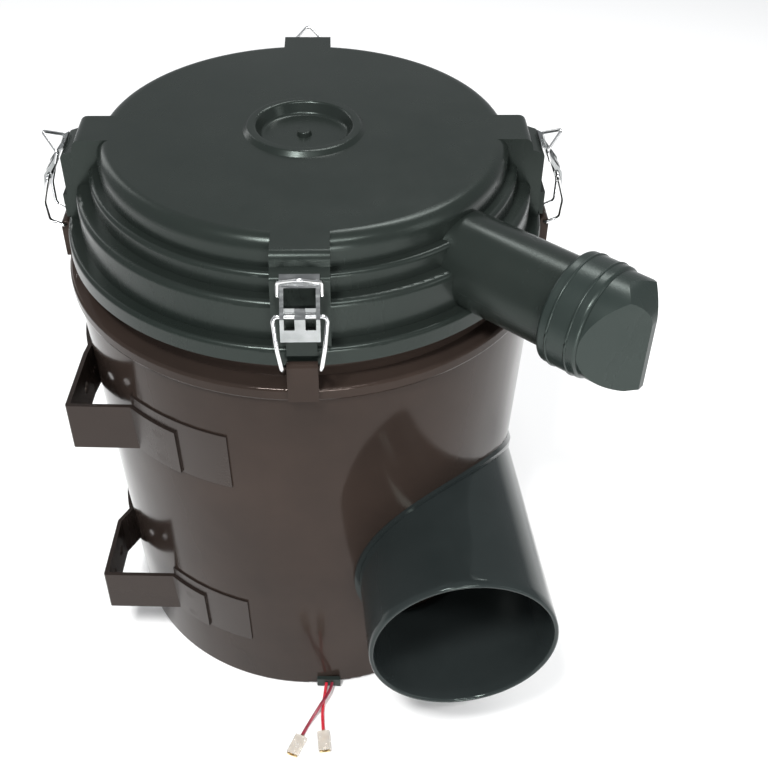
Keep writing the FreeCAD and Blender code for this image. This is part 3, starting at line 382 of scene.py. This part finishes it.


# Warm specular tint: a painted reflection of a brown surrounding, on the canister wall and straps.
PAINTED_WARM_REFLECTION = (1.0, 0.84, 0.76, 1.0)
COOL_SHEEN = (0.86, 1.0, 0.93, 1.0)
finishes = {
    # Canister wall: dark plastic; its brownish base colour and warm specular tint are partly painted
    # reflection of a warm surrounding.
    "canister_plastic": plastic("canister_plastic", (0.017, 0.0125, 0.0105), (0.027, 0.019, 0.0155),
                                0.07, 0.15, 900.0, 0.00001, 0.0006, Specular_Tint=PAINTED_WARM_REFLECTION,
                                Specular_IOR_Level=0.30, IOR=1.30),
    "port_plastic": plastic("port_plastic", (0.013, 0.0165, 0.0165), (0.019, 0.023, 0.023),
                            0.08, 0.16, 900.0, 0.00001, 0.0003, Specular_Tint=COOL_SHEEN,
                            Specular_IOR_Level=0.35, IOR=1.34),
    "cover_plastic": plastic("cover_plastic", (0.0085, 0.0115, 0.0100), (0.0125, 0.0155, 0.0138),
                             0.20, 0.30, 1500.0, 0.00003, 0.0002, Specular_Tint=COOL_SHEEN,
                             Specular_IOR_Level=0.30, IOR=1.42),
    "valve_rubber": plastic("valve_rubber", (0.012, 0.017, 0.0155), (0.018, 0.023, 0.021),
                            0.24, 0.36, 1200.0, 0.00005, 0.0002, Specular_Tint=COOL_SHEEN,
                            Specular_IOR_Level=0.35, IOR=1.42),
    # Straps: black paint; their brownish base colour and warm specular tint are partly painted
    # reflection of a warm surrounding.
    "strap_paint": plastic("strap_paint", (0.012, 0.009, 0.008), (0.018, 0.0135, 0.0115),
                           0.16, 0.30, 700.0, 0.00003, 0.0001, Specular_Tint=PAINTED_WARM_REFLECTION,
                           Specular_IOR_Level=0.35, IOR=1.42),
    "zinc": metal("zinc", (0.55, 0.56, 0.57), (0.78, 0.78, 0.77), 0.10, 0.22,
                  (1.0, 1.0, 1.0), 0.00003),
    "zinc_sheet": metal("zinc_sheet", (0.20, 0.21, 0.21), (0.34, 0.35, 0.35), 0.14, 0.26,
                        (1.0, 1.0, 6.0), 0.00003),
    "motor_steel": metal("motor_steel", (0.38, 0.39, 0.40), (0.52, 0.52, 0.53), 0.25, 0.42,
                         (1.0, 1.0, 12.0), 0.00004),
    "bearing_steel": metal("bearing_steel", (0.55, 0.56, 0.58), (0.72, 0.72, 0.73), 0.12, 0.25,
                           (1.0, 1.0, 20.0), 0.00002),
    "magnet": plastic("magnet", (0.03, 0.03, 0.032), (0.05, 0.05, 0.052), 0.45, 0.65, 900.0, 0.00006,
                      0.0002),
    "copper_armature": windings(),
    "fan_plastic": plastic("fan_plastic", (0.020, 0.021, 0.024), (0.036, 0.037, 0.040), 0.35, 0.5,
                           1000.0, 0.00004, 0.0001),
    "housing_plastic": plastic("housing_plastic", (0.024, 0.024, 0.024), (0.038, 0.038, 0.037), 0.3,
                               0.45, 1000.0, 0.00003, 0.0002),
    "filter_paper": filter_paper(),
    "filter_cap": plastic("filter_cap", (0.030, 0.030, 0.034), (0.046, 0.046, 0.050), 0.5, 0.7,
                          800.0, 0.00008, 0.0003),
    "filter_steel": perforated_sheet(),
    "red_insulation": insulation("red_insulation", (0.42, 0.012, 0.025), (0.60, 0.03, 0.05)),
    "dark_insulation": insulation("dark_insulation", (0.16, 0.015, 0.03), (0.28, 0.03, 0.05)),
    "clear_sleeve": clear_sleeve(),
    "terminal_brass": metal("terminal_brass", (0.70, 0.52, 0.26), (0.85, 0.70, 0.42), 0.2, 0.36,
                            (1.0, 1.0, 1.0), 0.00003),
}


def coat(piece, finish):
    piece.data.materials.clear()
    piece.data.materials.append(finishes[finish])


def coat_nodes():
    """Every CAD node takes the finish of its material slot, or a variant of it."""
    special = {"inlet_port": "port_plastic", "inlet_saddle_ring": "port_plastic"}
    special.update({f"latch_lever_{side}": "zinc_sheet" for side in SIDES})
    for part in record["subparts"]:
        finish = special.get(part["node"], part["material_slot"])
        for slot in nodes[part["node"]].material_slots:
            slot.material = finishes[finish]
    for colour, lead in leads.items():
        coat(lead, f"{colour}_insulation")


coat_nodes()


# ---------------------------------------------------------------- added pieces, in millimetres

TUBE_RADIUS = 29.0
TUBE_HEIGHT = 364.0
TUBE_TURN = math.radians(-40.0)
CUFF_RADIUS = 35.0
CUFF_START = 212.0
CUFF_RIBS = (7.0, 20.0)  # from the cuff's start
CUFF_RIB_SIZE = 0.9
CUFF_RIB_SINK = 0.2
CUFF_MOUTH_SIZE = 1.1
CUFF_MOUTH_PLACE = 0.6
CUFF_MOUTH_RISE = 0.9
CAP_TOP = 312.0
CAP_RIB_COUNT = 8
CAP_RIB_SECTION = ((-2.6, -0.5), (-1.2, 4.0), (1.2, 4.0), (2.6, -0.5))  # aside, up
CAP_RIB_RUN = ((26.0, 1.0), (86.0, 0.8), (92.0, 0.1))  # out from the axis, share of the height
CAP_RING_RADIUS = 24.0
CAP_RING_RISE = 1.5
CAP_RING_SIZE = 3.2
PORT_TURN = math.radians(7.0)
PORT_OFFSET = 87.0
PORT_HEIGHT = 131.0
PORT_REACH = 220.0
SKIN_OUTER = 64.7
SKIN_INNER = 61.0
SKIN_AROUND = 144
OUTER_STEPS = 24
INNER_STEPS = 12
LIP_LENGTH = 2.0
LIP_ROUND = ((0.3, 1.2), (0.9, 0.35))  # in from a face of the wall, back from the mouth
BASE_RADIUS = 149.0
RIM_RADIUS = 160.5
WALL_TOP = 308.0


def smooth_mesh(name, vertices, faces, body, finish):
    """A shaded-smooth mesh piece in millimetres that rides a body."""
    mesh = bpy.data.meshes.new(name)
    mesh.from_pydata([tuple(value * MM for value in vertex) for vertex in vertices], [], faces)
    mesh.shade_smooth()
    mesh.validate()
    piece = bpy.data.objects.new(name, mesh)
    bpy.context.scene.collection.objects.link(piece)
    coat(piece, finish)
    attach(piece, body)
    return piece


def bead_mesh(points, radius, sides=12):
    """Vertices and faces of a round bead along a closed line of points."""
    count = len(points)
    vertices = []
    for index, point in enumerate(points):
        along = (points[(index + 1) % count] - points[index - 1]).normalized()
        side = along.cross(Vector((0.0, 0.0, 1.0)))
        if side.length < 0.1:
            side = along.cross(Vector((1.0, 0.0, 0.0)))
        side.normalize()
        over = side.cross(along)
        for step in range(sides):
            angle = 2 * math.pi * step / sides
            vertices.append(point + radius * (math.cos(angle) * side + math.sin(angle) * over))
    faces = []
    for index in range(count):
        following = (index + 1) % count
        for step in range(sides):
            after = (step + 1) % sides
            faces.append((index * sides + step, index * sides + after,
                          following * sides + after, following * sides + step))
    return vertices, faces


def tube_point(along, angle, radius):
    """A point about the dust tube's line: angle 0 is its top, along is from the cover's axis."""
    side = radius * math.sin(angle)
    x = along * math.cos(TUBE_TURN) - side * math.sin(TUBE_TURN)
    y = along * math.sin(TUBE_TURN) + side * math.cos(TUBE_TURN)
    return Vector((x, y, TUBE_HEIGHT + radius * math.cos(angle)))


def add_cuff_bead(name, along, radius, size):
    """A raised rubber ring round the dust tube's line, at a distance along it."""
    count = 96
    points = [tube_point(along, 2 * math.pi * index / count, radius) for index in range(count)]
    vertices, faces = bead_mesh(points, size)
    smooth_mesh(name, vertices, faces, "cover_body", "valve_rubber")


def add_valve_rings():
    """Two moulded ribs round the valve's cuff, and its thin mouth bead against the tube."""
    for index, along in enumerate(CUFF_RIBS):
        add_cuff_bead(f"cuff_rib_{index}", CUFF_START + along, CUFF_RADIUS - CUFF_RIB_SINK,
                      CUFF_RIB_SIZE)
    add_cuff_bead("cuff_mouth", CUFF_START + CUFF_MOUTH_PLACE, TUBE_RADIUS + CUFF_MOUTH_RISE,
                  CUFF_MOUTH_SIZE)


def cap_rib_mesh(angle):
    """Vertices and faces of one rib that runs out along the cap and fades at its edge."""
    way = Vector((math.cos(angle), math.sin(angle), 0.0))
    across = Vector((-way.y, way.x, 0.0))
    vertices = []
    for reach, share in CAP_RIB_RUN:
        for side, rise in CAP_RIB_SECTION:
            height = rise * share if rise > 0 else rise
            vertices.append(way * reach + across * side + Vector((0.0, 0.0, CAP_TOP + height)))
    corners = len(CAP_RIB_SECTION)
    last = len(vertices) - 1
    faces = [tuple(range(corners)), tuple(range(last, last - corners, -1))]
    for ring in range(0, len(vertices) - corners, corners):
        for step in range(corners):
            after = (step + 1) % corners
            faces.append((ring + step, ring + corners + step, ring + corners + after, ring + after))
    return vertices, faces


def add_cap_piece(name, vertices, faces):
    smooth_mesh(name, vertices, faces, "canister", "filter_cap")


def add_cap_ribs():
    """Moulded ribs and a pull ring on the main element's end cap."""
    for index in range(CAP_RIB_COUNT):
        vertices, faces = cap_rib_mesh(2 * math.pi * index / CAP_RIB_COUNT)
        add_cap_piece(f"cap_rib_{index}", vertices, faces)
    count = 64
    ring = []
    for index in range(count):
        angle = 2 * math.pi * index / count
        ring.append(Vector((CAP_RING_RADIUS * math.cos(angle), CAP_RING_RADIUS * math.sin(angle),
                            CAP_TOP + CAP_RING_RISE)))
    vertices, faces = bead_mesh(ring, CAP_RING_SIZE)
    add_cap_piece("cap_ring", vertices, faces)


def inlet_start(angle, radius):
    """How far out the inlet tube leaves the tapered wall, at an angle about its own line."""
    height = PORT_HEIGHT + radius * math.sin(angle)
    aside = PORT_OFFSET + radius * math.cos(angle)
    wall = BASE_RADIUS + (RIM_RADIUS - BASE_RADIUS) * height / WALL_TOP
    return math.sqrt(max(wall * wall - aside * aside, 1.0))


def inlet_point(angle, radius, reach):
    """A point about the inlet's line, which is turned from -Y and set to one side."""
    aside = PORT_OFFSET + radius * math.cos(angle)
    return Vector((aside * math.cos(PORT_TURN) + reach * math.sin(PORT_TURN),
                   aside * math.sin(PORT_TURN) - reach * math.cos(PORT_TURN),
                   PORT_HEIGHT + radius * math.sin(angle)))


def inlet_lip():
    """Radius and reach round the lip, from the outer face to the inner one."""
    lip = [(SKIN_OUTER - inward, PORT_REACH - back) for inward, back in LIP_ROUND]
    lip.append(((SKIN_OUTER + SKIN_INNER) / 2, PORT_REACH))
    lip += [(SKIN_INNER + inward, PORT_REACH - back) for inward, back in reversed(LIP_ROUND)]
    return lip


def inlet_profile(angle):
    """Radius and reach down one line of the inlet: out along its skin, round its lip, back in."""
    start = inlet_start(angle, SKIN_OUTER)
    end = inlet_start(angle, SKIN_INNER)
    front = PORT_REACH - LIP_LENGTH
    line = []
    for step in range(OUTER_STEPS):
        line.append((SKIN_OUTER, start + (front - start) * step / OUTER_STEPS))
    line += inlet_lip()
    for step in range(INNER_STEPS + 1):
        line.append((SKIN_INNER, front - (front - end) * step / INNER_STEPS))
    return line


def add_inlet():
    """The inlet tube in one smooth skin with a rounded lip."""
    around = SKIN_AROUND
    vertices = []
    for index in range(around):
        angle = 2 * math.pi * index / around
        vertices += [inlet_point(angle, radius, reach) for radius, reach in inlet_profile(angle)]
    rows = len(vertices) // around
    faces = []
    for index in range(around):
        following = (index + 1) % around
        for row in range(rows):
            after = (row + 1) % rows
            faces.append((index * rows + row, index * rows + after,
                          following * rows + after, following * rows + row))
    piece = smooth_mesh("inlet_skin", vertices, faces, "canister", "port_plastic")
    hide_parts("inlet_port")


add_inlet()
add_valve_rings()
add_cap_ribs()
